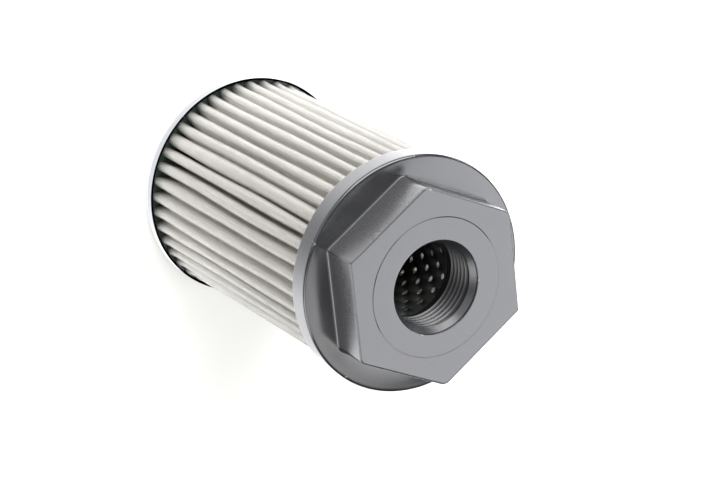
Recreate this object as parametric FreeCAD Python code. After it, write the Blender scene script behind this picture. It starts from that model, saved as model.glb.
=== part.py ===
import FreeCAD, Part
import math
import os

# Hydraulic suction strainer: a moulded head with a female pipe thread, a pleated wire-cloth filter on a
# perforated core, and a pressed end cap. It stands on its end cap, with the axis of the thread along +Z
# and the origin at the middle of the cap's underside. Lengths are in millimetres, angles in degrees.

# Moulded head
overall_height = 110.0
hex_across_flats = 50.8
hex_height = 12.0
hex_corner_radius = 2.8
parting_corner_radius = 0.6
hex_face_bevel = 0.4
flange_radius = 34.0
flange_plate = 2.4
rim_height = 6.8
rim_wall = 1.7
rim_front_bevel = 0.9
thread_radius = 13.22
thread_length = 13.0
relief_radius = 13.6
spigot_length = 2.0

# Perforated core
core_inner_radius = 14.6
core_wall = 0.8
core_head_band = 3.0
core_foot_band = 12.0
core_columns = 40
seam_columns = 2
core_phase = 156.5
hole_diameter = 2.1
hole_corners = 4
hole_rise = 8.4
rises_per_turn = 23
first_hole_lift = 8.2

# Pleated wire cloth
pleat_count = 44
pleat_phase = 4.75
cloth_thickness = 0.4
tip_fold_radius = 1.25
root_fold_radius = 0.15
lap_pleat = 20
lap_depth = 6.0
tip_fold_steps = 4
root_fold_steps = 1

# End cap
cap_height = 3.6
cap_sheet = 0.6
cap_bevel = 0.6
boss_rise = 1.6

# Resin beds
head_resin_depth = 3.0
cap_resin_depth = 2.2

# Clearances
spigot_clearance = 0.1
boss_clearance = 0.1
lap_clearance = 0.05
tip_clearance = 0.3
root_clearance = 0.4
cap_clearance = 0.4

# Levels and radii worked out from the sizes above
hex_base = overall_height - hex_height
rim_edge = hex_base - rim_height
pocket_floor = hex_base - flange_plate
pocket_radius = flange_radius - rim_wall
spigot_end = pocket_floor - spigot_length
spigot_radius = core_inner_radius - spigot_clearance
thread_end = overall_height - thread_length
head_resin_face = pocket_floor - head_resin_depth
cap_resin_face = cap_sheet + cap_resin_depth
boss_radius = core_inner_radius - boss_clearance
core_outer_radius = core_inner_radius + core_wall
pleat_tip_radius = pocket_radius - tip_clearance
pleat_root_radius = core_outer_radius + root_clearance
cap_radius = pleat_tip_radius + cap_clearance + cap_sheet

# Middle line of the folded cloth
half_pitch = math.pi / pleat_count
tip_mid = tip_fold_radius - cloth_thickness / 2
root_mid = root_fold_radius + cloth_thickness / 2
tip_centre_radius = pleat_tip_radius - tip_fold_radius
root_centre_radius = pleat_root_radius + root_mid + cloth_thickness / 2

origin = FreeCAD.Vector(0, 0, 0)
up = FreeCAD.Vector(0, 0, 1)


def polar(radius, angle, height=0.0):
    """A point at a radius, an angle in radians and a height."""
    return FreeCAD.Vector(radius * math.cos(angle), radius * math.sin(angle), height)


def turned(section):
    """A solid turned round the axis from a closed section of (radius, height) corners."""
    corners = [polar(radius, 0, height) for radius, height in section]
    return Part.Face(Part.makePolygon(corners + corners[:1])).revolve(origin, up, 360)


def flats(apothem, low, high):
    """A prism round the axis with the flats of the rolled core, one to each column of holes."""
    corner_radius = apothem / math.cos(math.pi / core_columns)
    corners = [polar(corner_radius, math.radians(core_phase) + 2 * math.pi * (i + 0.5) / core_columns, low)
               for i in range(core_columns + 1)]
    return Part.Face(Part.makePolygon(corners)).extrude(up * (high - low))


def rounded_hexagon():
    """The spanner hexagon, with its upright corners rounded and its top edges bevelled.

    The mould parts along X, and the two corners there are sharper than the other four.
    """
    corner_distance = hex_across_flats / math.sqrt(3)
    corners = [polar(corner_distance, math.radians(60 * i), hex_base) for i in range(7)]
    block = Part.Face(Part.makePolygon(corners)).extrude(up * hex_height)
    for radius, parting in ((hex_corner_radius, False), (parting_corner_radius, True)):
        upright = [edge for edge in block.Edges if edge.BoundBox.ZLength > hex_height / 2
                   and (abs(edge.CenterOfMass.y) < hex_corner_radius) == parting]
        block = block.makeFillet(radius, upright)
    top = [edge for edge in block.Edges if edge.BoundBox.ZMin > hex_base + hex_height / 2]
    return block.makeChamfer(hex_face_bevel, top)


def threaded_head():
    """Hexagon, flange, turned-down rim, core spigot and bore, moulded as one."""
    flange = turned([
        (0, pocket_floor), (pocket_radius, pocket_floor), (pocket_radius, rim_edge),
        (flange_radius, rim_edge), (flange_radius, hex_base - rim_front_bevel),
        (flange_radius - rim_front_bevel, hex_base), (0, hex_base)])
    spigot = flats(spigot_radius, spigot_end, pocket_floor)
    relief = flats(relief_radius, spigot_end, thread_end)
    thread_bore = Part.makeCylinder(thread_radius, thread_length, up * thread_end)
    return rounded_hexagon().fuse([flange, spigot]).cut([relief, thread_bore]).removeSplitter()


def core_tube():
    """Perforated strip rolled on flats, with a column of punched holes to each flat but the seam's.

    Each column stands a fixed share of one rise above the last, so the rows wind round the tube,
    and they meet themselves again after one turn.
    """
    lowest = cap_sheet + core_foot_band + hole_diameter / 2
    highest = pocket_floor - core_head_band - hole_diameter / 2
    punches = []
    for column in range(core_columns - seam_columns):
        angle = math.radians(core_phase) + 2 * math.pi * column / core_columns
        lift = first_hole_lift + hole_rise * rises_per_turn * column / core_columns
        height = lowest + lift % hole_rise
        while height <= highest:
            punches.append(punch(angle, height))
            height += hole_rise
    outside, inside = (flats(apothem, cap_sheet, pocket_floor)
                       for apothem in (core_outer_radius, core_inner_radius))
    return outside.cut(inside).cut(Part.makeCompound(punches))


def punch(angle, height):
    """The prism that cuts one hole square through a flat, its corners on the hole's circle."""
    margin = core_wall / 2
    aside = FreeCAD.Vector(-math.sin(angle), math.cos(angle), 0)
    centre = polar(core_inner_radius - margin, angle, height)
    corners = []
    for i in range(hole_corners + 1):
        turn = 2 * math.pi * i / hole_corners
        corners.append(centre + (aside * math.cos(turn) + up * math.sin(turn)) * (hole_diameter / 2))
    return Part.Face(Part.makePolygon(corners)).extrude(polar(core_wall + 2 * margin, angle))


def fold(centre, radius, start, end, steps):
    """Corners of the chords of one fold, from a start angle to an end angle in radians."""
    return [centre + polar(radius, start + (end - start) * i / steps) for i in range(steps + 1)]


def flank_angle(centre_radius, mid_radius):
    """Angle between a pleat's middle and the outward normal of its flank.

    The middle line of the flank is the tangent that crosses from the circle of the tip fold to
    the circle of the root fold, which stands half a pleat pitch further on.
    """
    along = centre_radius - root_centre_radius * math.cos(half_pitch)
    aside = root_centre_radius * math.sin(half_pitch)
    return (math.pi / 2 - math.atan2(aside, along)
            + math.asin((mid_radius + root_mid) / math.hypot(along, aside)))


def sheet_side(offset):
    """Corners of one face of the folded cloth, offset outwards from its middle line.

    The cloth starts under one pleat, goes once round the axis and laps over its own start, so
    that pleat has two layers, each with a cut edge part of the way down its flank.
    """
    lap_step = cloth_thickness + lap_clearance
    lap_centre_radius = tip_centre_radius - lap_step
    plain_flank = flank_angle(tip_centre_radius, tip_mid)
    under_flank = flank_angle(lap_centre_radius, tip_mid)
    over_flank = flank_angle(lap_centre_radius, tip_mid + lap_step)
    corners = []
    for i in range(pleat_count + 1):
        middle = math.radians(pleat_phase) + 2 * half_pitch * (lap_pleat + i)
        starts, ends = i == 0, i == pleat_count
        lapped = starts or ends
        rise, fall = (over_flank, under_flank) if lapped else (plain_flank, plain_flank)
        centre = polar(lap_centre_radius if lapped else tip_centre_radius, middle)
        radius = tip_mid + offset + (lap_step if ends else 0.0)
        tip = fold(centre, radius, middle - rise, middle + fall, tip_fold_steps)
        if starts:
            corners.append(tip[0] + polar(lap_depth, middle - rise - math.pi / 2))
        corners += tip
        if ends:
            corners.append(tip[-1] + polar(lap_depth, middle + fall + math.pi / 2))
        else:
            next_rise = over_flank if i == pleat_count - 1 else plain_flank
            root = polar(root_centre_radius, middle + half_pitch)
            corners += fold(root, root_mid - offset, middle + fall + math.pi,
                            middle + 2 * half_pitch - next_rise + math.pi, root_fold_steps)
    return corners


def pleated_mesh():
    """Wire cloth folded into pleats, standing on the cap's resin and reaching the head's."""
    outline = sheet_side(cloth_thickness / 2) + sheet_side(-cloth_thickness / 2)[::-1]
    height = head_resin_face - cap_resin_face
    sheet = Part.Face(Part.makePolygon(outline + outline[:1])).extrude(up * height)
    sheet.translate(up * cap_resin_face)
    return sheet


def end_cap():
    """Pressed pan: an upright wall, a bevelled bend, a flat ring and a raised middle."""
    pan = turned([
        (0, 0), (cap_radius - cap_bevel, 0), (cap_radius, cap_bevel), (cap_radius, cap_height),
        (cap_radius - cap_sheet, cap_height), (cap_radius - cap_sheet, cap_sheet), (0, cap_sheet)])
    boss = flats(boss_radius, cap_sheet, boss_rise + cap_sheet)
    recess = flats(boss_radius - cap_sheet, 0, boss_rise)
    return pan.fuse(boss).cut(recess)


def resin_bed(low, high, outer_radius):
    """A disc of resin poured round the core."""
    disc = Part.makeCylinder(outer_radius, high - low, up * low)
    return disc.cut(flats(core_outer_radius, low, high))


def head_adhesive():
    """Resin in the pocket under the flange."""
    return resin_bed(head_resin_face, pocket_floor, pocket_radius)


def cap_adhesive():
    """Resin in the end cap, round the foot of the core."""
    return resin_bed(cap_sheet, cap_resin_face, cap_radius - cap_sheet)


os.makedirs("parts", exist_ok=True)
for piece in (threaded_head, core_tube, pleated_mesh, end_cap, head_adhesive, cap_adhesive):
    piece().exportStep(os.path.join("parts", piece.__name__ + ".step"))
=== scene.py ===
"""Looks of a hydraulic suction strainer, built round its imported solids.

The strainer stands on its end cap with its thread upwards. Every new surface is worked out with numpy.
Pieces have their sizes in millimetres until a mesh is written, which is in metres, in the frame of the
solids. Finishes and the studio have theirs in metres.
"""

import logging
import math
from dataclasses import dataclass, field
from enum import Enum
from typing import Any, Mapping, Sequence

import bmesh
import bpy
import numpy as np
from mathutils import Matrix, Vector

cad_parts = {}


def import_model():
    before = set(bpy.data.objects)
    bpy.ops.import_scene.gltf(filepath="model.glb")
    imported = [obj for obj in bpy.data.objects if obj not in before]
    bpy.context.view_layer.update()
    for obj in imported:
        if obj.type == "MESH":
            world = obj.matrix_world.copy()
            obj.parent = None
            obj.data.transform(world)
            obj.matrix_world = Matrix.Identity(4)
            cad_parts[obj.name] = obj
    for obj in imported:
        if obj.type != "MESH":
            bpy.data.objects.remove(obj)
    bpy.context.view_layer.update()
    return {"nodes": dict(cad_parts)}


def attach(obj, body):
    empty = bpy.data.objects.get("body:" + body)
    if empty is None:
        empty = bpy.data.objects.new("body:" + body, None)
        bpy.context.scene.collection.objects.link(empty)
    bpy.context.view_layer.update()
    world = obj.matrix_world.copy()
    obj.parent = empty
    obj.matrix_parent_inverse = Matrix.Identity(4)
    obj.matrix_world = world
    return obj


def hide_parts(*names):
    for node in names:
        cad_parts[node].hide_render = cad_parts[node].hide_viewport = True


log = logging.getLogger("strainer")

Colour = tuple[float, float, float, float]
Range = tuple[float, float]
Place = tuple[float, float, float]
Wave = tuple[float, int, float, float]
Socket = bpy.types.NodeSocket

MM = 0.001
TURN = 2 * math.pi
BODY = "root"
EDGE, MATT, BORE, INSIDE, VALLEY_LIGHT = "edge", "matt", "bore", "inside", "valley_light_share"
UV_NAME = "cloth"
FINE_ROUND = 0.1
SHADE_ENDS: Range = (0.3, 0.7)
BLACK: Colour = (0.0, 0.0, 0.0, 1.0)


class Slot(Enum):
    """Material slots, one of which each piece is passed with."""

    NYLON = "nylon"
    WIRE_CLOTH = "wire_cloth"
    CORE_STEEL = "core_steel"
    PLATED_STEEL = "plated_steel"


class Ring(Enum):
    """Outline that a row of the head's skin follows."""

    ROUND = 0
    HEX = 1


# Meshes from arrays


def unit(angle: Any) -> np.ndarray:
    """Points of the unit circle at angles in radians."""
    return np.stack([np.cos(angle), np.sin(angle)], axis=-1)


def turned(radius: Any, angle: np.ndarray, high: np.ndarray) -> np.ndarray:
    """Points at radii, angles and heights that are spread over one grid."""
    return np.stack(np.broadcast_arrays(radius * np.cos(angle), radius * np.sin(angle), high), axis=-1)


def arcs(centre: np.ndarray, radius: np.ndarray, start: np.ndarray, end: np.ndarray,
         steps: int) -> np.ndarray:
    """Points along arcs in the plane, one row of them to each arc.

    Args:
        centre: Centres of the arcs.
        radius: Radii of the arcs.
        start: Angles at which they start, in radians.
        end: Angles at which they end.
        steps: Number of chords in one arc.

    Returns:
        Array of arcs by points.
    """
    share = np.linspace(0, 1, steps + 1)
    return centre[:, None] + radius[:, None, None] * unit(start[:, None] + (end - start)[:, None] * share)


def tangent_angle(tip: np.ndarray, root: np.ndarray, radii: np.ndarray, side: int) -> np.ndarray:
    """Angle of the normal of the tangent that crosses from the tip circles to the root circles.

    Args:
        tip: Centres of the tip circles.
        root: Centres of the root circles.
        radii: Sum of the two radii of each pair.
        side: One for the flank that rises to the tip, minus one for the flank that falls from it.

    Returns:
        Angles in radians.
    """
    line = root - tip
    return np.arctan2(line[:, 1], line[:, 0]) + side * np.arccos(radii / np.hypot(line[:, 0], line[:, 1]))


def uneven(waves: Sequence[Wave], angle: np.ndarray, level: np.ndarray) -> np.ndarray:
    """A slow uneven value on the cloth: a sum of sines of the angle and the level.

    Args:
        waves: Size, number of waves round, climb in radians to the whole height, and phase.
        angle: Angles in radians.
        level: Heights, from 0 at the foot to 1.

    Returns:
        The value at each point.
    """
    return sum(size * np.sin(count * angle + climb * level + phase) for size, count, climb, phase in waves)


def grid_quads(rows: int, columns: int, wrap_rows: bool, wrap_columns: bool) -> np.ndarray:
    """Corner numbers of the quads of a grid of points.

    Point (i, j) has the number i times the columns plus j, and each quad joins it to the next point
    of its row and to the same two points of the next row.

    Args:
        rows: Number of rows of points.
        columns: Number of points in a row.
        wrap_rows: Whether the last row joins the first.
        wrap_columns: Whether the last column joins the first.

    Returns:
        Array of four point numbers to a quad.
    """
    i = np.arange(rows if wrap_rows else rows - 1)[:, None]
    j = np.arange(columns if wrap_columns else columns - 1)[None, :]
    below, beside = (i + 1) % rows, (j + 1) % columns
    corners = (i * columns + j, i * columns + beside, below * columns + beside, below * columns + j)
    return np.stack(np.broadcast_arrays(*corners), axis=-1).reshape(-1, 4)


@dataclass
class Skin:
    """A mesh as arrays: points in millimetres, faces of equal size, and values on the points."""

    points: np.ndarray
    faces: list[np.ndarray]
    values: dict[str, np.ndarray] = field(default_factory=dict)
    uv: np.ndarray | None = None

    def volume(self) -> float:
        """Volume within a closed skin, negative when its faces point inwards.

        Each face is a fan of triangles from its first corner, and each triangle adds a sixth of the
        triple product of its corners.

        Returns:
            Volume in cubic millimetres.
        """
        total = 0.0
        for faces in self.faces:
            first = self.points[faces[:, 0]]
            for step in range(1, faces.shape[1] - 1):
                second, third = self.points[faces[:, step]], self.points[faces[:, step + 1]]
                total += float(np.einsum("ij,ij->i", first, np.cross(second, third)).sum()) / 6
        return total

    def outwards(self) -> "Skin":
        """The same skin with its faces turned to point outwards."""
        if self.volume() < 0:
            self.faces = [faces[:, ::-1] for faces in self.faces]
        return self

    def build(self, name: str, sharp_degrees: float = 50.0) -> bpy.types.Object:
        """Writes the skin into a mesh object at the origin.

        Args:
            name: Name of the piece.
            sharp_degrees: Bend between two faces above which their edge is drawn sharp.

        Returns:
            The new object.
        """
        mesh = bpy.data.meshes.new(name)
        loops = np.concatenate([faces.ravel() for faces in self.faces])
        sizes = np.concatenate([np.full(len(faces), faces.shape[1]) for faces in self.faces])
        mesh.vertices.add(len(self.points))
        mesh.vertices.foreach_set("co", (self.points * MM).astype(np.float32).ravel())
        mesh.loops.add(len(loops))
        mesh.loops.foreach_set("vertex_index", loops.astype(np.int32))
        mesh.polygons.add(len(sizes))
        mesh.polygons.foreach_set("loop_start", (np.cumsum(sizes) - sizes).astype(np.int32))
        mesh.polygons.foreach_set("use_smooth", np.ones(len(sizes), dtype=bool))
        mesh.update(calc_edges=True)
        for key, value in self.values.items():
            layer = mesh.attributes.new(key, "FLOAT", "POINT")
            layer.data.foreach_set("value", value.astype(np.float32).ravel())
        if self.uv is not None:
            layer = mesh.uv_layers.new(name=UV_NAME)
            layer.data.foreach_set("uv", self.uv[loops].astype(np.float32).ravel())
        mesh.set_sharp_from_angle(angle=math.radians(sharp_degrees))
        obj = bpy.data.objects.new(name, mesh)
        bpy.context.collection.objects.link(obj)
        return obj


@dataclass(frozen=True)
class Corner:
    """A corner of a profile: how far out and high, its round's size, its outline and how it wears."""

    out: float
    high: float
    round: float = 0.0
    ring: Ring = Ring.ROUND
    worn: float = 1.0


def rounded_profile(corners: Sequence[Corner], steps: int, guard: float) -> dict[str, np.ndarray]:
    """Rows of a profile with its corners rounded.

    A round is the parabola that leaves each side of the corner at the round's size. Its rows carry
    the corner's wear as their edge value, and a guard row on each side of it carries zero, so that
    wear and the shading of the round stay there. A round under FINE_ROUND is too small to be seen, so
    it has two chords and no edge value.

    Args:
        corners: The profile's corners in order.
        steps: Number of chords in one round.
        guard: Distance from a round to its guard row.

    Returns:
        Arrays "out", "high", "edge" and "hex", one entry to each row.
    """
    places = np.array([(corner.out, corner.high) for corner in corners])
    rows: list[np.ndarray] = []
    for number, corner in enumerate(corners):
        here = places[number]
        if corner.round <= 0:
            rows.append(np.array([[*here, 0.0, corner.ring.value]]))
            continue
        back, ahead = places[number - 1] - here, places[(number + 1) % len(corners)] - here
        back, ahead = back / np.linalg.norm(back), ahead / np.linalg.norm(ahead)
        fine = corner.round < FINE_ROUND
        chords, away = (2, corner.round * 2) if fine else (steps, corner.round + guard)
        share = np.linspace(0, 1, chords + 1)[:, None]
        curve = here + corner.round * ((1 - share) ** 2 * back + share**2 * ahead)
        block = np.vstack([here + away * back, curve, here + away * ahead])
        edge = np.r_[0.0, np.full(chords + 1, 0.0 if fine else corner.worn), 0.0]
        rows.append(np.c_[block, edge, np.full(len(block), corner.ring.value)])
    table = np.vstack(rows)
    return {"out": table[:, 0], "high": table[:, 1], "edge": table[:, 2], "hex": table[:, 3] > 0.5}


# Shader nodes


@dataclass
class Tree:
    """Places and links the nodes of one shader tree."""

    tree: bpy.types.NodeTree

    def put(self, kind: str, inputs: Mapping[Any, Any] | None = None, **settings: Any) -> bpy.types.Node:
        """Adds a node, sets its options and fills its sockets.

        Args:
            kind: Blender's name of the node type.
            inputs: Socket name or number to a value or to another node's output.
            settings: Options of the node.

        Returns:
            The new node.
        """
        node = self.tree.nodes.new(kind)
        for key, value in settings.items():
            setattr(node, key, value)
        for key, value in (inputs or {}).items():
            if isinstance(value, Socket):
                self.tree.links.new(value, node.inputs[key])
            else:
                node.inputs[key].default_value = value
        return node

    def math(self, operation: str, *values: Any, **settings: Any) -> Socket:
        """A Math node's result on values or sockets."""
        node = self.put("ShaderNodeMath", dict(enumerate(values)), operation=operation, **settings)
        return node.outputs[0]

    def mix(self, share: Any, first: Any, second: Any) -> Socket:
        """A colour between two colours by a share."""
        return self.put("ShaderNodeMix", {0: share, 6: first, 7: second}, data_type="RGBA").outputs[2]

    def blend(self, share: Any, first: Any, second: Any) -> Socket:
        """A number between two numbers by a share."""
        return self.put("ShaderNodeMix", {0: share, 2: first, 3: second}, data_type="FLOAT").outputs[0]

    def spread(self, value: Any, low: float, high: float, to_low: Any, to_high: Any) -> Socket:
        """A value carried from one range to another and held within it."""
        return self.put("ShaderNodeMapRange", {0: value, 1: low, 2: high, 3: to_low, 4: to_high}).outputs[0]

    def noise(self, scale: Any, **options: float) -> Socket:
        """A noise on the object's own coordinates, with its other options by socket name."""
        inputs = {"Vector": self.coordinate(), "Scale": scale, **options}
        return self.put("ShaderNodeTexNoise", inputs).outputs[0]

    def coordinate(self) -> Socket:
        """The object's own coordinates, in metres."""
        return self.put("ShaderNodeTexCoord").outputs["Object"]

    def axis(self, vector: Any, name: str) -> Socket:
        """One axis of a vector."""
        return self.put("ShaderNodeSeparateXYZ", {0: vector}).outputs[name]

    def distance(self, middle: Place) -> Socket:
        """Distance of the object's own coordinates from a place."""
        inputs = {0: self.coordinate(), 1: middle}
        return self.put("ShaderNodeVectorMath", inputs, operation="DISTANCE").outputs["Value"]

    def attribute(self, name: str) -> Socket:
        """A value that the mesh carries on its points."""
        return self.put("ShaderNodeAttribute", attribute_name=name).outputs["Fac"]


class Effects:
    """Shader groups that more than one material uses."""

    patches: Range = (0.35, 0.7)
    hardness: float = 3.0

    def __init__(self) -> None:
        """Builds the groups once, for all materials."""
        self.grain = self._grain()
        self.wear = self._wear()

    @staticmethod
    def _start(name: str, inputs: Mapping[str, float], outputs: Sequence[str]) -> tuple[Tree, Any]:
        """An empty group of plain number sockets.

        Args:
            name: Name of the group.
            inputs: Socket name to its default value.
            outputs: Socket names.

        Returns:
            The group's tree and the sockets of its input node.
        """
        tree = Tree(bpy.data.node_groups.new(name, "ShaderNodeTree"))
        sockets = tree.tree.interface
        for key, value in inputs.items():
            sockets.new_socket(key, in_out="INPUT", socket_type="NodeSocketFloat").default_value = value
        for key in outputs:
            sockets.new_socket(key, in_out="OUTPUT", socket_type="NodeSocketFloat")
        return tree, tree.put("NodeGroupInput").outputs

    def _grain(self) -> bpy.types.NodeTree:
        """Fine surface grain over slow blotches: a height, and a shade that wanders round one half.

        Returns:
            The group.
        """
        tree, given = self._start(
            "surface_grain", {"Fine scale": 900.0, "Blotch scale": 60.0, "Blotch share": 0.5},
            ("Height", "Shade"))
        fine = tree.noise(given["Fine scale"], Detail=3.0)
        slow = tree.noise(given["Blotch scale"], Detail=4.0)
        shade = tree.blend(given["Blotch share"], fine, slow)
        tree.put("NodeGroupOutput", {"Height": fine, "Shade": shade})
        return tree.tree

    def _wear(self) -> bpy.types.NodeTree:
        """Wear of the edges: the edge value of the mesh, broken up by noise.

        Returns:
            The group.
        """
        tree, given = self._start("edge_wear", {"Scale": 300.0, "Bareness": 0.5}, ("Mask",))
        bare = tree.spread(tree.noise(given["Scale"], Detail=5.0, Roughness=0.65), *self.patches, 0.0, 1.0)
        over = tree.math("SUBTRACT", bare, tree.math("SUBTRACT", 1.0, given["Bareness"]))
        mask = tree.math("MULTIPLY", tree.math("MULTIPLY", over, self.hardness), tree.attribute(EDGE),
                         use_clamp=True)
        tree.put("NodeGroupOutput", {"Mask": mask})
        return tree.tree


@dataclass
class Material:
    """A new material with its shader and its nodes ready to be filled."""

    name: str
    tree: Tree = field(init=False)
    shader: bpy.types.Node = field(init=False)
    data: bpy.types.Material = field(init=False)

    def __post_init__(self) -> None:
        """Makes the material with one shader and nothing that feeds it."""
        self.data = bpy.data.materials.new(self.name)
        self.data.use_nodes = True
        self.data.node_tree.nodes.clear()
        self.tree = Tree(self.data.node_tree)
        self.shader = self.tree.put("ShaderNodeBsdfPrincipled")
        self.tree.put("ShaderNodeOutputMaterial", {"Surface": self.shader.outputs[0]})

    def set(self, **constants: Any) -> None:
        """Sets constant values on the shader, with underscores for the spaces in socket names."""
        for key, value in constants.items():
            self.shader.inputs[key.replace("_", " ")].default_value = value

    def feed(self, **sockets: Socket) -> None:
        """Links values that change over the surface into the shader."""
        for key, socket in sockets.items():
            self.tree.tree.links.new(socket, self.shader.inputs[key.replace("_", " ")])

    def group(self, group: bpy.types.NodeTree, **inputs: float) -> Any:
        """The outputs of a shader group placed with its own values."""
        named = {key.replace("_", " "): value for key, value in inputs.items()}
        return self.tree.put("ShaderNodeGroup", named, node_tree=group).outputs

    def wander(self, grain: Any, low: float, high: float) -> Socket:
        """A value that wanders over the surface between two ends with the grain's shade."""
        return self.tree.spread(grain["Shade"], *SHADE_ENDS, low, high)

    def bump(self, height: Any, distance: float, strength: Any) -> Socket:
        """Normal of a bump whose height is in metres once multiplied by the distance."""
        inputs = {"Height": height, "Distance": distance, "Strength": strength}
        return self.tree.put("ShaderNodeBump", inputs).outputs[0]


@dataclass(frozen=True)
class MouldedNylon:
    """Black moulded nylon, satin, with a duller and finely speckled spanner hexagon and rubbed edges."""

    colour: Colour = (0.007, 0.0072, 0.0085, 1.0)
    dull: Colour = (0.043, 0.0433, 0.045, 1.0)
    rubbed: Colour = (0.21, 0.21, 0.22, 1.0)
    gloss: Range = (0.14, 0.22)
    dull_gloss: Range = (0.22, 0.34)
    speckle: Range = (0.55, 1.0)
    speckle_ends: Range = (0.35, 0.65)
    dust: float = 0.25
    dust_ends: Range = (0.35, 0.7)
    parting_half: float = 0.0004
    parting_matt: Range = (0.6, 0.9)
    unpolished: float = 0.16
    grain_height: float = 0.00008
    grain_strength: Range = (0.05, 0.4)

    def make(self, effects: Effects) -> bpy.types.Material:
        """Builds the material.

        The mould's parting line is a thin band on the hexagon where Y is near zero, painted black as
        painted shade that stands for a groove along it. The bore and the parting line are rougher than the
        rest.

        Args:
            effects: Shared shader groups.

        Returns:
            The material.
        """
        made = Material("moulded_nylon")
        made.set(IOR=1.5)
        tree = made.tree
        grain = made.group(effects.grain, Fine_scale=2400.0, Blotch_scale=90.0, Blotch_share=0.7)
        wear = made.group(effects.wear, Scale=420.0, Bareness=0.2)
        side, bore = tree.attribute(MATT), tree.attribute(BORE)
        across = tree.math("ABSOLUTE", tree.axis(tree.coordinate(), "Y"))
        # painted shade: the band along the parting line is painted black, standing for shade in a groove
        parting = tree.spread(across, 0.5 * self.parting_half, self.parting_half, 1.0, 0.0)
        groove = tree.math("MULTIPLY", parting, tree.spread(side, *self.parting_matt, 0.0, 1.0))
        speckle = tree.spread(grain["Height"], *self.speckle_ends, *self.speckle)
        plain = tree.mix(side, self.colour, tree.mix(speckle, self.colour, self.dull))
        dusty = tree.mix(tree.spread(grain["Shade"], *self.dust_ends, 0.0, self.dust), plain, self.dull)
        rubbed = tree.mix(wear["Mask"], tree.mix(bore, dusty, self.colour), self.rubbed)
        satin = tree.blend(side, made.wander(grain, *self.gloss), made.wander(grain, *self.dull_gloss))
        rough = tree.math("MULTIPLY_ADD", tree.math("MAXIMUM", groove, bore), self.unpolished, satin)
        strength = tree.spread(side, 0.0, 1.0, *self.grain_strength)
        made.feed(Base_Color=tree.mix(groove, rubbed, BLACK), Roughness=rough,
                  Normal=made.bump(grain["Height"], self.grain_height, strength))
        return made.data


@dataclass(frozen=True)
class WireCloth:
    """Stainless wire cloth of a plain weave, seen as a pale satin sheet that lets a little light by.

    The pitch of its wires is in millimetres, as its UV map is.
    """

    wire: Colour = (0.226, 0.218, 0.199, 1.0)
    smudged: Colour = (0.19436, 0.18748, 0.17114, 1.0)
    smudge: float = 0.35
    gap: Colour = (0.160, 0.153, 0.138, 1.0)
    # painted light: paler colour of the cloth deep in its valleys
    valley_painted_light: Colour = (0.78, 0.76, 0.705, 1.0)
    # dark colour of the cloth's foot: partly soaked-up resin, partly painted shade near the cap
    soaked_and_shaded: Colour = (0.020, 0.024, 0.021, 1.0)
    soak_and_shade_low: float = 0.0012
    soak_and_shade_high: float = 0.0070
    soak_and_shade_rag: float = 0.004
    soak_and_shade_most: float = 0.85
    pitch: float = 0.6
    warp_rise: float = 0.7
    warp_dip: float = 0.25
    weft_dip: float = 0.35
    wire_level: Range = (0.5, 0.85)
    opening: float = 0.8
    metal: float = 0.15
    gloss: Range = (0.38, 0.50)
    seep: float = 0.08
    weave_height: float = 0.00008
    weave_strength: float = 0.5

    def make(self, effects: Effects) -> bpy.types.Material:
        """Builds the material.

        The weave's height is the higher of two sets of wires. Each set is a sine across it, lifted
        and lowered by a sine along it, out of step from one wire to the next. The cloth's inner face
        gives off a little light, which stands for the daylight that seeps through the weave. Its foot
        darkens towards the end cap up to a ragged level: partly resin that has soaked up it, partly
        painted shade near the cap.

        Args:
            effects: Shared shader groups.

        Returns:
            The material.
        """
        made = Material("wire_cloth")
        made.set(Metallic=self.metal, Emission_Strength=self.seep)
        tree = made.tree
        uv = tree.put("ShaderNodeUVMap", uv_map=UV_NAME).outputs[0]
        runs = [tree.math("MULTIPLY", tree.axis(uv, name), math.pi / self.pitch) for name in "XY"]
        warp, weft = (tree.math("ABSOLUTE", tree.math("SINE", run)) for run in runs)
        crossing = tree.math("MULTIPLY", *(tree.math("COSINE", run) for run in runs))
        warp = tree.math("MULTIPLY", warp, self.warp_rise)
        height = tree.math("MAXIMUM", tree.math("MULTIPLY_ADD", crossing, self.warp_dip, warp),
                           tree.math("MULTIPLY_ADD", crossing, -self.weft_dip, weft))
        solid = tree.spread(height, *self.wire_level, 0.0, 1.0)
        grain = made.group(effects.grain, Fine_scale=700.0, Blotch_scale=45.0, Blotch_share=0.6)
        wire = tree.mix(made.wander(grain, 0.0, self.smudge), self.wire, self.smudged)
        # painted light: deep in the valleys the cloth takes a paler colour, standing for light that reaches
        # into them
        dry = tree.mix(tree.attribute(VALLEY_LIGHT), tree.mix(solid, self.gap, wire), self.valley_painted_light)
        # darkening towards the end cap: partly resin soaked up the cloth, partly painted shade near the cap
        level = tree.math("MULTIPLY_ADD", grain["Shade"], -self.soak_and_shade_rag, tree.axis(tree.coordinate(), "Z"))
        soak_and_shade = tree.spread(level, self.soak_and_shade_low, self.soak_and_shade_high, self.soak_and_shade_most, 0.0)
        made.feed(Base_Color=tree.mix(soak_and_shade, dry, self.soaked_and_shaded),
                  Emission_Color=tree.mix(tree.attribute(INSIDE), BLACK, self.wire),
                  Roughness=made.wander(grain, *self.gloss),
                  Alpha=tree.spread(solid, 0.0, 1.0, 1.0 - self.opening, 1.0),
                  Normal=made.bump(height, self.weave_height, self.weave_strength))
        return made.data


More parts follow.
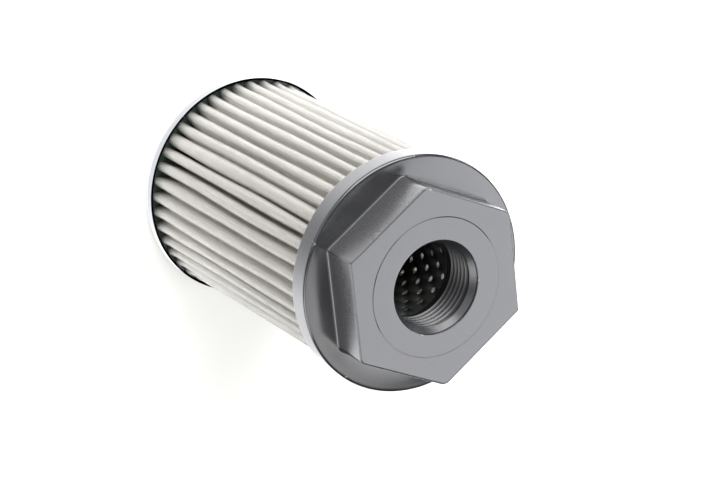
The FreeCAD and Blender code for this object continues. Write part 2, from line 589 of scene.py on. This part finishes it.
@dataclass(frozen=True)
class GrainedFinish:
    """A finish whose gloss wanders with its grain.

    Its other colour comes in with the grain's blotches, or on rubbed edges alone where it wears.
    """

    name: str
    colour: Colour
    other: Colour
    gloss: Range
    fine_scale: float
    blotch_scale: float
    blotch_share: float
    grain_height: float
    grain_strength: float
    metal: float = 0.0
    index: float = 1.5
    wear_scale: float | None = None
    bareness: float = 0.5

    def make(self, effects: Effects) -> bpy.types.Material:
        """Builds the material.

        Args:
            effects: Shared shader groups.

        Returns:
            The material.
        """
        made = Material(self.name)
        made.set(Metallic=self.metal, IOR=self.index)
        grain = made.group(effects.grain, Fine_scale=self.fine_scale, Blotch_scale=self.blotch_scale,
                           Blotch_share=self.blotch_share)
        if self.wear_scale is None:
            share = made.wander(grain, 0.0, 1.0)
        else:
            share = made.group(effects.wear, Scale=self.wear_scale, Bareness=self.bareness)["Mask"]
        made.feed(Base_Color=made.tree.mix(share, self.colour, self.other),
                  Roughness=made.wander(grain, *self.gloss),
                  Normal=made.bump(grain["Height"], self.grain_height, self.grain_strength))
        return made.data


@dataclass(frozen=True)
class CoreSteel(GrainedFinish):
    """Dark oiled steel of the perforated core."""

    name: str = "core_steel"
    colour: Colour = (0.030, 0.034, 0.031, 1.0)
    other: Colour = (0.045, 0.051, 0.0465, 1.0)
    gloss: Range = (0.5, 0.7)
    fine_scale: float = 600.0
    blotch_scale: float = 70.0
    blotch_share: float = 0.6
    grain_height: float = 0.00003
    grain_strength: float = 0.4
    metal: float = 0.3


@dataclass(frozen=True)
class PlatedSteel(GrainedFinish):
    """Bright plated sheet of the end cap."""

    name: str = "plated_steel"
    colour: Colour = (0.150, 0.154, 0.160, 1.0)
    other: Colour = (0.21, 0.213, 0.22, 1.0)
    gloss: Range = (0.16, 0.30)
    fine_scale: float = 500.0
    blotch_scale: float = 50.0
    blotch_share: float = 0.7
    grain_height: float = 0.00002
    grain_strength: float = 0.35
    metal: float = 1.0
    wear_scale: float = 260.0
    bareness: float = 0.6


@dataclass(frozen=True)
class SetResin(GrainedFinish):
    """Dark glossy resin with a faint green cast."""

    name: str = "set_resin"
    colour: Colour = (0.012, 0.018, 0.015, 1.0)
    other: Colour = (0.0216, 0.0324, 0.027, 1.0)
    gloss: Range = (0.12, 0.32)
    fine_scale: float = 420.0
    blotch_scale: float = 120.0
    blotch_share: float = 0.5
    grain_height: float = 0.0002
    grain_strength: float = 0.5
    index: float = 1.55


@dataclass(frozen=True)
class PaleSweep:
    """Matt white studio sheet, which glows in a pool round the strainer.

    It is shaded in front of the head and dim on one side, and the camera sees it less bright.
    """

    colour: Colour = (0.86, 0.86, 0.855, 1.0)
    mottled: Colour = (0.8471, 0.8471, 0.842175, 1.0)
    shaded: Colour = (0.55, 0.55, 0.547, 1.0)
    shaded_glow: Colour = (0.34, 0.345, 0.365, 1.0)
    open_glow: Colour = (2.1, 2.12, 2.22, 1.0)
    beyond: Colour = (0.03, 0.03, 0.03, 1.0)
    seen: Colour = (0.37, 0.368, 0.356, 1.0)
    seen_glow: Colour = (0.26, 0.26, 0.255, 1.0)
    gloss: Range = (0.8, 0.9)
    shade_middle: Place = (-0.108, -0.002, 0.0)
    dim_middle: Place = (0.03, -0.105, 0.0)
    dim_share: float = 0.25
    shade_reach: Range = (0.02, 0.085)
    pool_edge: Range = (0.15, 0.27)

    def make(self, effects: Effects) -> bpy.types.Material:
        """Builds the material.

        Args:
            effects: Shared shader groups.

        Returns:
            The material.
        """
        made = Material("pale_sweep")
        made.set(Specular_IOR_Level=0.1, Emission_Strength=1.0)
        tree = made.tree
        grain = made.group(effects.grain, Fine_scale=200.0, Blotch_scale=2.0, Blotch_share=0.8)
        to_camera = tree.put("ShaderNodeLightPath").outputs["Is Camera Ray"]
        bright = tree.spread(tree.distance(self.shade_middle), *self.shade_reach, 0.0, 1.0)
        dim = tree.spread(tree.distance(self.dim_middle), *self.shade_reach, self.dim_share, 1.0)
        bright = tree.math("MULTIPLY", bright, dim)
        pool = tree.spread(tree.distance((0.0, 0.0, 0.0)), *self.pool_edge, 1.0, 0.0)
        paper = tree.mix(made.wander(grain, 0.0, 1.0), self.colour, self.mottled)
        paper = tree.mix(pool, self.beyond, tree.mix(bright, self.shaded, paper))
        glow = tree.mix(pool, BLACK, tree.mix(bright, self.shaded_glow, self.open_glow))
        made.feed(Base_Color=tree.mix(to_camera, paper, self.seen),
                  Emission_Color=tree.mix(to_camera, glow, self.seen_glow),
                  Roughness=made.wander(grain, *self.gloss))
        return made.data


def dress(obj: bpy.types.Object, material: bpy.types.Material) -> None:
    """Gives every material slot of an object the one material.

    Args:
        obj: The object to dress.
        material: Its finish.
    """
    if not obj.data.materials:
        obj.data.materials.append(material)
    for number in range(len(obj.data.materials)):
        obj.data.materials[number] = material


def finished(obj: bpy.types.Object, material: bpy.types.Material, slot: Slot,
             *nodes: str) -> bpy.types.Object:
    """Dresses a piece, fixes it to the body and hides the nodes of the solids that it stands for.

    Args:
        obj: The piece.
        material: Its finish.
        slot: Its material slot; not used.
        nodes: Nodes of the solids that it replaces.

    Returns:
        The piece.
    """
    dress(obj, material)
    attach(obj, BODY)
    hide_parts(*nodes)
    return obj


# Pieces


@dataclass
class ThreadedHead:
    """Moulded head: hexagon, flange with a turned-down rim, spigot and female pipe thread.

    Heights count from the underside of the end cap. The mouth is the cone and the small step at the
    thread's outer end, and the run-out is the height over which its grooves fade. The witness is the
    shallow ring that the mould leaves in the face.
    """

    top: float = 110.0
    across_flats: float = 50.8
    corner_round: float = 2.8
    parting_round: float = 0.6
    face_round: float = 0.5
    face_border: float = 1.6
    hex_base: float = 98.0
    base_fillet: float = 0.5
    flange_radius: float = 34.0
    flange_ring: float = 2.8
    flange_drop: float = 0.28
    rim_front_round: float = 0.8
    rim_front_drop: float = 0.5
    rim_outer_round: float = 0.22
    rim_inner_round: float = 0.18
    rim_edge: float = 91.2
    pocket_radius: float = 32.3
    pocket_floor: float = 95.6
    spigot_radius: float = 14.5
    spigot_end: float = 93.6
    spigot_round: float = 0.3
    relief_radius: float = 13.6
    relief_round: float = 0.15
    thread_end: float = 97.0
    thread_major: float = 13.22
    thread_minor: float = 12.06
    thread_pitch: float = 1.814
    thread_steepness: float = 1.28
    thread_softness: float = 0.55
    mouth_radius: float = 13.33
    mouth_step: float = 0.6
    mouth_round: float = 0.22
    mouth_depth: float = 2.3
    run_out: float = 1.1
    witness_radius: float = 19.9
    witness_half: float = 0.14
    witness_depth: float = 0.16
    witness_round: float = 0.03
    witness_middle: float = 144.0
    witness_mean: float = 0.35
    witness_swing: float = 1.3
    witness_least: float = 0.12
    foot_height: float = 2.0
    foot_matt: float = 0.6
    bore_matt: float = 0.3
    corner_polish: float = 0.6
    corner_columns: int = 12
    flat_columns: int = 26
    rows_to_a_pitch: int = 14
    round_steps: int = 6
    guard: float = 0.35
    matt_margin: float = 0.1
    least_radius: float = 0.1

    def outline(self) -> tuple[np.ndarray, np.ndarray, np.ndarray]:
        """Round centres, radii and outward normals of the hexagon's outline, column by column.

        A column on a corner turns its normal about that corner's centre, and a column on a flat
        slides from one centre and radius to the next with its normal held. The two corners on the
        mould's parting line are sharper than the others.

        Returns:
            Arrays of centres, of radii and of normals in the plane.
        """
        corner = np.arange(6)[:, None] * TURN / 6
        round_at = np.where(np.arange(6) % 3 == 0, self.parting_round, self.corner_round)[:, None]
        reach = (self.across_flats / 2 - round_at) / math.cos(math.pi / 6)
        swing = np.linspace(-math.pi / 6, math.pi / 6, self.corner_columns)
        slide = np.linspace(0, 1, self.flat_columns + 2)[1:-1]
        normal = np.hstack([corner + swing, corner + math.pi / 6 + 0 * slide])
        first = np.hstack([np.cos(corner) * reach, np.sin(corner) * reach, round_at])[:, None]
        second = np.roll(first, -1, axis=0)
        table = np.hstack([np.repeat(first, self.corner_columns, axis=1),
                           first + (second - first) * slide[None, :, None]]).reshape(-1, 3)
        return table[:, :2], table[:, 2], unit(normal).reshape(-1, 2)

    def corner_share(self) -> np.ndarray:
        """How near each column is to the middle of a corner, from 0 on a flat to 1."""
        swing = np.sin(np.linspace(0, np.pi, self.corner_columns))
        return np.tile(np.r_[swing, np.zeros(self.flat_columns)], 6)

    def bore(self, angle: np.ndarray) -> np.ndarray:
        """Points of the threaded bore from its inner end to the mouth.

        The thread's radius is the minor radius plus its depth times a rounded wave of the height in
        pitches less the turn, which makes a right-handed helix. Its grooves run out below the cone
        of the mouth.

        Args:
            angle: Angle of each column.

        Returns:
            Array of rows by columns.
        """
        cone_end, step = self.top - self.mouth_depth, self.top - self.mouth_step
        count = round((step - self.thread_end) / self.thread_pitch * self.rows_to_a_pitch)
        high = np.linspace(self.thread_end, step, count)[:, None] + 0 * angle
        phase = high / self.thread_pitch - angle / TURN
        tent = 2 * np.abs((phase % 1.0) - 0.5)
        wave = np.clip((tent - 0.5) * self.thread_steepness + 0.5, 0.0, 1.0)
        smooth = wave * wave * (3 - 2 * wave)
        wave = smooth * self.thread_softness + wave * (1 - self.thread_softness)
        run_out = np.clip((cone_end - high) / self.run_out, 0, 1)
        groove = (self.thread_major - self.thread_minor) * (1 - wave) * run_out
        up_cone = np.clip((high - cone_end) / (self.mouth_depth - self.mouth_step), 0, 1)
        cone = (self.mouth_radius - self.thread_minor) * up_cone
        return turned(self.thread_minor + groove + cone, angle, high)

    def profile(self) -> list[Corner]:
        """Corners of the profile from the mouth over the face, the outside and the underside.

        On the hexagon, a corner's distance out counts from the hexagon's own side.

        Returns:
            The corners in order.
        """
        face, witness, half = self.top, self.witness_radius, self.witness_half
        return [
            Corner(self.mouth_radius, face, self.mouth_round),
            Corner(witness - half, face, self.witness_round),
            Corner(witness, face - self.witness_depth),
            Corner(witness + half, face, self.witness_round),
            Corner(-self.face_border, face, 0.0, Ring.HEX),
            Corner(0.0, face, self.face_round, Ring.HEX),
            Corner(0.0, self.hex_base, self.base_fillet, Ring.HEX, 0.0),
            Corner(self.flange_radius - self.flange_ring, self.hex_base - self.flange_drop),
            Corner(self.flange_radius, self.hex_base - self.rim_front_drop, self.rim_front_round),
            Corner(self.flange_radius, self.rim_edge, self.rim_outer_round),
            Corner(self.pocket_radius, self.rim_edge, self.rim_inner_round),
            Corner(self.pocket_radius, self.pocket_floor),
            Corner(self.spigot_radius, self.pocket_floor),
            Corner(self.spigot_radius, self.spigot_end, self.spigot_round),
            Corner(self.relief_radius, self.spigot_end, self.relief_round),
            Corner(self.relief_radius, self.thread_end)]

    def build(self, material: bpy.types.Material) -> bpy.types.Object:
        """Builds the head as one closed skin.

        The witness groove round the face is deepest at its middle angle and fades by a cosine of the
        angle away from it. The hexagon's sides are matt, less so at their foot and on the corners.

        Args:
            material: Its finish.

        Returns:
            The piece.
        """
        centre, radius, normal = self.outline()
        at_hex = centre + radius[:, None] * normal
        angle = np.arctan2(at_hex[:, 1], at_hex[:, 0])[None, :]
        rows = rounded_profile(self.profile(), self.round_steps, self.guard)
        on_hex = rows["hex"][:, None]
        out, high = rows["out"][:, None], rows["high"][:, None] + 0 * angle
        groove = (np.abs(out - self.witness_radius) < 2 * self.witness_half) & ~on_hex
        fade = self.witness_mean + self.witness_swing * np.cos(angle - math.radians(self.witness_middle))
        depth = np.clip(fade, self.witness_least, 1.0)
        high = np.where(groove, self.top + (high - self.top) * depth, high)
        flat = centre[None] + np.maximum(radius + out, self.least_radius)[:, :, None] * normal[None]
        plane = np.where(on_hex[:, :, None], flat, out[:, :, None] * unit(angle))
        bore = self.bore(angle)
        points = np.vstack([bore, np.concatenate([plane, high[:, :, None]], axis=2)])
        matt = rows["hex"] * np.clip(rows["out"] / self.face_round + 1, 0, 1)
        matt = matt * (rows["out"] < self.base_fillet + self.matt_margin)
        matt = matt * np.where(rows["high"] < self.hex_base + self.foot_height, self.foot_matt, 1.0)
        parts = {EDGE: (0.0, rows["edge"]), MATT: (self.bore_matt, matt), BORE: (1.0, 0 * matt)}
        values = {key: np.r_[np.full(len(bore), in_bore), beyond][:, None] + 0 * angle
                  for key, (in_bore, beyond) in parts.items()}
        values[MATT] = values[MATT] * (1 - self.corner_polish * self.corner_share())
        quads = grid_quads(points.shape[0], points.shape[1], True, True)
        skin = Skin(points.reshape(-1, 3), [quads], values).outwards()
        return finished(skin.build("moulded_head"), material, Slot.NYLON, "threaded_head")


@dataclass
class PleatedCloth:
    """Wire cloth folded into pleats round the core, its ends lapped over one pleat.

    The cloth keeps its own colour down to the bright depth under its tips, and over a further depth
    below that it turns to a paler colour, painted light that stands for the light reaching into its
    valleys.
    """

    pleats: int = 44
    phase: float = 4.75
    warp: float = 1.2
    warp_count: int = 3
    warp_middle: float = 114.0
    tip_radius: float = 32.0
    root_radius: float = 15.8
    thickness: float = 0.4
    tip_fold: float = 1.25
    tip_swell: float = 0.35
    root_fold: float = 0.15
    lean: float = 8.0
    foot_flare: float = 0.42
    foot_share: float = 0.07
    bright_depth: float = 0.8
    valley_light_depth: float = 2.2
    lap_pleat: int = 20
    lap_gap: float = 0.05
    lap_depth: float = 6.0
    lap_over_depth: float = 0.9
    low: float = 2.8
    high: float = 92.6
    twist: tuple[Wave, ...] = ((0.16, 5, 4.1, 0.6), (0.12, 11, -7.0, 2.0), (0.10, 17, 9.0, 4.4))
    draw: tuple[Wave, ...] = ((0.10, 7, 5.0, 1.0), (0.08, 13, -6.0, 0.0))
    draw_in: float = 0.10
    slack_power: float = 0.3
    held_power: float = 0.7
    depth_power: float = 1.5
    end_crowding: float = 1.15
    tip_steps: int = 8
    root_steps: int = 3
    flank_steps: int = 4
    rows: int = 27

    def angles(self) -> np.ndarray:
        """Angle of each pleat's tip in radians, first and last being the lapped one.

        They stand at equal steps, pushed along by a slow wave round the axis as the folds of the real
        cloth are.

        Returns:
            Array of angles.
        """
        number = self.lap_pleat + np.arange(self.pleats + 1)
        even = math.radians(self.phase) + TURN * number / self.pleats
        wave = np.cos(self.warp_count * (even - math.radians(self.warp_middle)))
        return even + math.radians(self.warp) * wave

    def section(self, offset: float, slack: float) -> np.ndarray:
        """Points of one face of the folded sheet in the plane.

        Each tip and each root is a circle, and each flank is the tangent that crosses between two of
        them. The tangent's normal stands off the line of the centres by the angle whose cosine is the
        sum of the two radii over their distance. Where the sheet is slack, its tips swell and its
        pleats lean, with each root turned on past the middle between its tips.

        Args:
            offset: Distance of the face from the middle of the sheet, outwards.
            slack: How free the sheet is at this height, from 0 where the resin holds it to 1.

        Returns:
            Array of points along the sheet.
        """
        angle = self.angles()
        step = self.thickness + self.lap_gap
        lapped = np.zeros(len(angle))
        lapped[[0, -1]] = 1
        fold = self.tip_fold + self.tip_swell * slack
        mid_tip, mid_root = fold - self.thickness / 2, self.root_fold + self.thickness / 2
        tip_radius = mid_tip + step * (np.arange(len(angle)) == self.pleats)
        tip = (self.tip_radius - fold - step * lapped)[:, None] * unit(angle)
        between = (angle[:-1] + angle[1:]) / 2 + math.radians(self.lean) * slack
        root = (self.root_radius + mid_root + self.thickness / 2) * unit(between)
        fall = tangent_angle(tip[:-1], root, tip_radius[:-1] + mid_root, -1)
        rise = tangent_angle(tip[1:], root, tip_radius[1:] + mid_root, 1)
        start = angle - (angle - np.r_[rise[-1] - TURN, rise]) % TURN
        end = angle + (np.r_[fall, fall[0] + TURN] - angle) % TURN
        tips = arcs(tip, tip_radius + offset, start, end, self.tip_steps)
        first, last = end[:-1] + math.pi, start[1:] + math.pi
        last = first - (first - last) % TURN
        roots = arcs(root, np.full(len(root), mid_root - offset), first, last, self.root_steps)
        along = np.linspace(0, 1, self.flank_steps + 2)[1:-1][None, :, None]
        down = tips[:-1, -1:] + (roots[:, :1] - tips[:-1, -1:]) * along
        up = roots[:, -1:] + (tips[1:, :1] - roots[:, -1:]) * along
        folds = np.concatenate([tips[:-1], down, roots, up], axis=1).reshape(-1, 2)
        reach = np.linspace(1, 0, self.flank_steps, endpoint=False)[:, None]
        under = tips[0, 0] + self.lap_depth * reach * unit(start[0] - math.pi / 2)
        over = tips[-1, -1] + self.lap_over_depth * reach[::-1] * unit(end[-1] + math.pi / 2)
        return np.vstack([under, folds, tips[-1], over])

    def build(self, material: bpy.types.Material) -> bpy.types.Object:
        """Builds the sheet as one closed skin.

        Each row of the section is turned and drawn in or out a little by slow waves of the height
        and the angle, which die out at both ends where the resin holds the cloth. The foot of the
        cloth flares to meet the wall of the end cap. Rows crowd towards both ends.

        Args:
            material: Its finish.

        Returns:
            The piece.
        """
        share = np.linspace(0, 1, self.rows)
        share = share - np.sin(TURN * share) / (TURN * self.end_crowding)
        free = np.sin(np.pi * share)
        outer, inner = (np.stack([self.section(offset, slack) for slack in free**self.slack_power])
                        for offset in (self.thickness / 2, -self.thickness / 2))
        middle = (outer[0] + inner[0]) / 2
        run = np.r_[0.0, np.cumsum(np.linalg.norm(np.diff(middle, axis=0), axis=1))]
        loop = np.concatenate([outer, inner[:, ::-1]], axis=1)
        radius, angle = np.hypot(loop[..., 0], loop[..., 1]), np.arctan2(loop[..., 1], loop[..., 0])
        level, high = share[:, None], (self.low + (self.high - self.low) * share)[:, None]
        depth = np.clip((radius - self.root_radius) / (self.tip_radius - self.root_radius), 0, 1)
        depth = depth**self.depth_power
        held = free[:, None] ** self.held_power
        twist = uneven(self.twist, angle, level) * held * depth
        draw = (uneven(self.draw, angle, level) - self.draw_in) * held * depth
        draw = draw + self.foot_flare * np.clip(1 - level / self.foot_share, 0, 1) ** 2 * depth
        points = turned(radius + draw, angle + twist / self.tip_radius, high)
        rows, columns = points.shape[:2]
        side = np.arange(outer.shape[1] - 1)
        ladder = np.stack([side, side + 1, columns - 2 - side, columns - 1 - side], axis=-1)
        quads = [grid_quads(rows, columns, False, True), ladder[:, ::-1], ladder + (rows - 1) * columns]
        uv = np.stack(np.broadcast_arrays(np.r_[run, run[::-1]], high), axis=-1).reshape(-1, 2)
        inside = np.tile(np.repeat([0.0, 1.0], outer.shape[1]), rows)
        # share of the paler valley colour, painted light, growing with depth below the tips
        valley_light_share = np.clip((self.tip_radius - self.bright_depth - radius) / self.valley_light_depth, 0, 1).ravel()
        skin = Skin(points.reshape(-1, 3), [np.vstack(quads)], {INSIDE: inside, VALLEY_LIGHT: valley_light_share}, uv).outwards()
        return finished(skin.build("pleated_cloth"), material, Slot.WIRE_CLOTH, "pleated_mesh")


@dataclass
class CoreTube:
    """Perforated core: a sheet of equal cells, each with a round hole, rolled and given its wall.

    A rise is the height from one hole to the next above it. The rows climb by whole rises in one turn,
    so that they meet themselves again, and the first lift is how far the first column's holes stand
    above the lowest place that a hole can have.
    """

    inner_radius: float = 14.6
    wall: float = 0.5
    low: float = 0.6
    high: float = 95.6
    head_band: float = 3.0
    foot_band: float = 12.0
    columns: int = 40
    seam_columns: int = 2
    phase: float = 156.5
    hole: float = 2.1
    rise: float = 8.4
    rises_per_turn: int = 23
    first_lift: float = 8.2
    hole_points: int = 18
    cells: int = 16
    spare_cells: int = 2
    merge_within: float = 0.002
    least_edge: float = 0.001

    def build(self, material: bpy.types.Material) -> bpy.types.Object:
        """Builds the core.

        A cell is a column wide and one rise high. Its outline has its four corners and, on each
        upright side, the point where the next column's cells meet, so that all cells share their
        points. A cell with a hole joins its outline to the hole's circle in triangles, and a plain
        cell is one face. Cells past the ends of the tube are flattened onto its ends and fall away
        when the points are merged.

        Args:
            material: Its finish.

        Returns:
            The piece.
        """
        step = self.rises_per_turn * self.rise / self.columns % self.rise
        width, radius = TURN / self.columns, self.inner_radius + self.wall
        half, lowest = self.rise / 2, self.low + self.foot_band + self.hole / 2
        highest = self.high - self.head_band - self.hole / 2
        column = np.arange(self.columns)
        climb = self.rise * self.rises_per_turn * column / self.columns
        lift = lowest + (self.first_lift + climb) % self.rise
        down = int(np.ceil((lowest - self.low) / self.rise)) + self.spare_cells
        centre = lift[:, None] + (np.arange(self.cells) - down) * self.rise
        middle = math.radians(self.phase) + width * column[:, None] + 0 * centre
        outline = np.array([(-0.5, -half), (0.5, -half), (0.5, step - half), (0.5, half), (-0.5, half),
                            (-0.5, half - step)])
        turn = np.arange(self.hole_points) * TURN / self.hole_points
        ring = self.hole / 2 * unit(turn) / (radius * width, 1.0)
        cell = np.vstack([outline, ring])
        angle = middle[:, :, None] + cell[None, None, :, 0] * width
        height = np.clip(centre[:, :, None] + cell[None, None, :, 1], self.low, self.high)
        points = turned(radius, angle, height)
        punched = column[:, None] < self.columns - self.seam_columns
        holed = (centre >= lowest) & (centre <= highest) & punched
        base = (np.arange(holed.size) * len(cell)).reshape(holed.shape)
        plain = base[~holed][:, None] + np.arange(len(outline))
        web = self.web(outline, ring, radius * width)
        webs = (base[holed][:, None, None] + web[None]).reshape(-1, 3)
        obj = Skin(points.reshape(-1, 3), [webs, plain]).build("perforated_core", 60.0)
        self.close(obj)
        return finished(obj, material, Slot.CORE_STEEL, "core_tube")

    def web(self, outline: np.ndarray, ring: np.ndarray, scale: float) -> np.ndarray:
        """Triangles between a cell's outline and its hole.

        Both are walked round by angle: each side of the outline takes the hole's point that faces
        its middle, and each side of the hole takes the outline's corner nearest its own angle.

        Args:
            outline: Corners of the cell.
            ring: Points of the hole's circle.
            scale: Width of a cell in millimetres.

        Returns:
            Array of three point numbers to a triangle.
        """
        outer = np.arctan2(outline[:, 1], outline[:, 0] * scale) % TURN
        corner, hole = np.arange(len(outline)), np.arange(len(ring))
        beside = (corner + 1) % len(outline)
        mid = (outer + ((outer[beside] - outer) % TURN) / 2) % TURN
        facing = np.round(mid / TURN * len(ring)).astype(int) % len(ring)
        sides = np.stack([corner, beside, len(outline) + facing], axis=-1)
        after = (hole - facing[:, None]) % len(ring)
        span = (facing[beside] - facing) % len(ring)
        owner = beside[np.argmax(after < span[:, None], axis=0)]
        chords = np.stack([owner, len(outline) + (hole + 1) % len(ring), len(outline) + hole], axis=-1)
        return np.vstack([sides, chords])

    def close(self, obj: bpy.types.Object) -> None:
        """Merges the cells into one sheet, turns it outwards and gives it its wall inwards.

        Args:
            obj: The object that holds the cells.
        """
        sheet = bmesh.new()
        sheet.from_mesh(obj.data)
        bmesh.ops.remove_doubles(sheet, verts=sheet.verts, dist=self.merge_within * MM)
        bmesh.ops.dissolve_degenerate(sheet, edges=sheet.edges, dist=self.least_edge * MM)
        loose = [vertex for vertex in sheet.verts if not vertex.link_faces]
        bmesh.ops.delete(sheet, geom=loose, context="VERTS")
        bmesh.ops.recalc_face_normals(sheet, faces=sheet.faces)
        first = sheet.faces[:][0]
        if first.normal.xy.dot(first.calc_center_median().xy) < 0:
            bmesh.ops.reverse_faces(sheet, faces=sheet.faces)
        sheet.to_mesh(obj.data)
        sheet.free()
        wall = obj.modifiers.new("wall", "SOLIDIFY")
        wall.thickness, wall.offset, wall.use_even_offset = self.wall * MM, -1.0, True


@dataclass
class EndCap:
    """Pressed pan of plated sheet with a raised middle."""

    radius: float = 33.0
    height: float = 3.6
    sheet: float = 0.4
    bend: float = 1.1
    edge_round: float = 0.2
    boss_radius: float = 14.5
    boss_rise: float = 1.6
    boss_slope: float = 0.5
    boss_round: float = 0.4
    boss_foot_round: float = 0.2
    middle_radius: float = 1.0
    columns: int = 256
    round_steps: int = 5
    guard: float = 0.3

    def profile(self) -> list[Corner]:
        """Corners of the pan's profile from the underside's middle to the inside's middle."""
        sheet, wall, boss = self.sheet, self.radius - self.sheet, self.boss_radius
        return [
            Corner(self.middle_radius, self.boss_rise),
            Corner(boss - sheet - self.boss_slope, self.boss_rise, self.boss_round),
            Corner(boss - sheet, 0.0, self.boss_round),
            Corner(self.radius, 0.0, self.bend),
            Corner(self.radius, self.height, self.edge_round),
            Corner(wall, self.height, self.edge_round),
            Corner(wall, sheet, self.bend - sheet),
            Corner(boss, sheet, self.boss_foot_round),
            Corner(boss - self.boss_slope, sheet + self.boss_rise, self.boss_round),
            Corner(self.middle_radius, sheet + self.boss_rise)]

    def build(self, material: bpy.types.Material) -> bpy.types.Object:
        """Builds the pan by turning its profile, with one face over each end of the axis.

        Args:
            material: Its finish.

        Returns:
            The piece.
        """
        rows = rounded_profile(self.profile(), self.round_steps, self.guard)
        first = np.arange(self.columns)
        points = turned(rows["out"][:, None], first * TURN / self.columns, rows["high"][:, None])
        quads = grid_quads(len(points), self.columns, False, True)
        middles = np.stack([first[::-1], first + (len(points) - 1) * self.columns])
        edge = np.repeat(rows["edge"], self.columns)
        skin = Skin(points.reshape(-1, 3), [quads, middles], {EDGE: edge}).outwards()
        return finished(skin.build("end_pan"), material, Slot.PLATED_STEEL, "end_cap")


# Studio


@dataclass(frozen=True)
class SoftLight:
    """A square soft light, aimed at the strainer, with its angles in degrees."""

    name: str
    azimuth: float
    elevation: float
    size: float
    radiance: float
    colour: tuple[float, float, float] = (1.0, 1.0, 1.0)


@dataclass
class Studio:
    """Pale floor, soft lights and the camera at the photograph's angle."""

    lens: float = 140.86
    clip: Range = (0.01, 50.0)
    camera_place: Place = (-0.44910842, 0.08466693, 0.71598061)
    camera_right: Place = (0.79271713, 0.34080861, 0.50541967)
    camera_up: Place = (-0.2256385, 0.93427127, -0.27608777)
    camera_back: Place = (-0.56629217, 0.10481737, 0.81751239)
    aim: Place = (0.0, 0.0, 0.07)
    light_distance: float = 3.3
    floor_half: float = 4.0
    floor_lines: int = 33
    sky: Colour = (0.98, 0.99, 1.0, 1.0)
    sky_strength: float = 0.05
    backdrop_strength: float = 1.1
    lights: tuple[SoftLight, ...] = (
        SoftLight("face_light", 2.6, 46.0, 1.75, 7.9, (0.955, 0.965, 1.0)),
        SoftLight("crown_light", 107.0, 34.0, 3.2, 13.5),
        SoftLight("low_light", -125.0, 34.0, 2.4, 5.4),
        SoftLight("table_light", -120.0, 10.0, 1.7, 8.0),
        SoftLight("top_light", -85.0, 65.0, 1.7, 3.1),
        SoftLight("front_light", 168.0, 36.0, 2.4, 3.3),
        SoftLight("edge_light", 50.0, 9.0, 0.9, 13.0),
        SoftLight("side_light", -38.0, 60.0, 1.2, 4.5))

    def add_camera(self) -> None:
        """Places the camera where the photograph was taken from."""
        camera = bpy.data.cameras.new("camera")
        camera.lens = self.lens
        camera.clip_start, camera.clip_end = self.clip
        turn = Matrix((self.camera_right, self.camera_up, self.camera_back)).transposed()
        obj = bpy.data.objects.new("camera", camera)
        obj.matrix_world = Matrix.Translation(self.camera_place) @ turn.to_4x4()
        bpy.context.collection.objects.link(obj)
        bpy.context.scene.camera = obj

    def add_light(self, light: SoftLight) -> None:
        """Places one soft light, whose power is its radiance times pi times its area.

        Args:
            light: The light to place.
        """
        azimuth, elevation = math.radians(light.azimuth), math.radians(light.elevation)
        way = Vector((math.cos(elevation) * math.cos(azimuth), math.cos(elevation) * math.sin(azimuth),
                      math.sin(elevation)))
        data = bpy.data.lights.new(light.name, "AREA")
        data.shape, data.size, data.color = "SQUARE", light.size, light.colour
        data.energy = light.radiance * math.pi * light.size**2
        obj = bpy.data.objects.new(light.name, data)
        obj.matrix_world = (Matrix.Translation(Vector(self.aim) + way * self.light_distance)
                            @ way.to_track_quat("Z", "Y").to_matrix().to_4x4())
        bpy.context.collection.objects.link(obj)

    def add_floor(self, material: bpy.types.Material) -> None:
        """Lays the floor as a grid of quads under the strainer.

        Args:
            material: Its finish.
        """
        lines = self.floor_lines
        side = np.linspace(-self.floor_half, self.floor_half, lines) / MM
        x, y = np.meshgrid(side, side)
        points = np.stack([x, y, 0 * x], axis=-1).reshape(-1, 3)
        obj = Skin(points, [grid_quads(lines, lines, False, False)]).build("pale_floor")
        dress(obj, material)

    def add_sky(self) -> None:
        """Sets a faint sky, which the camera sees as a bright backdrop."""
        world = bpy.data.worlds.new("studio")
        world.use_nodes = True
        tree = Tree(world.node_tree)
        back = world.node_tree.nodes["Background"]
        seen = tree.put("ShaderNodeLightPath").outputs["Is Camera Ray"]
        strength = tree.spread(seen, 0.0, 1.0, self.sky_strength, self.backdrop_strength)
        world.node_tree.links.new(strength, back.inputs["Strength"])
        back.inputs["Color"].default_value = self.sky
        bpy.context.scene.world = world

    def build(self, material: bpy.types.Material) -> None:
        """Sets up the whole studio.

        Args:
            material: The floor's finish.
        """
        bpy.context.scene.view_settings.view_transform = "Standard"
        self.add_sky()
        self.add_floor(material)
        for light in self.lights:
            self.add_light(light)
        self.add_camera()


def main() -> None:
    """Loads the frame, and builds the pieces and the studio."""
    logging.basicConfig(level=logging.INFO, format="%(name)s: %(message)s")
    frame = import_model()
    effects = Effects()
    builders: tuple[tuple[Any, Any], ...] = (
        (ThreadedHead(), MouldedNylon()), (PleatedCloth(), WireCloth()),
        (CoreTube(), CoreSteel()), (EndCap(), PlatedSteel()))
    for builder, finish in builders:
        piece = builder.build(finish.make(effects))
        log.info("%s: %d faces", piece.name, len(piece.data.polygons))
    resin = SetResin().make(effects)
    for name in ("head_adhesive", "cap_adhesive"):
        dress(frame["nodes"][name], resin)
        log.info("%s: dressed", name)
    Studio().build(PaleSweep().make(effects))


if __name__ == "__main__":
    main()
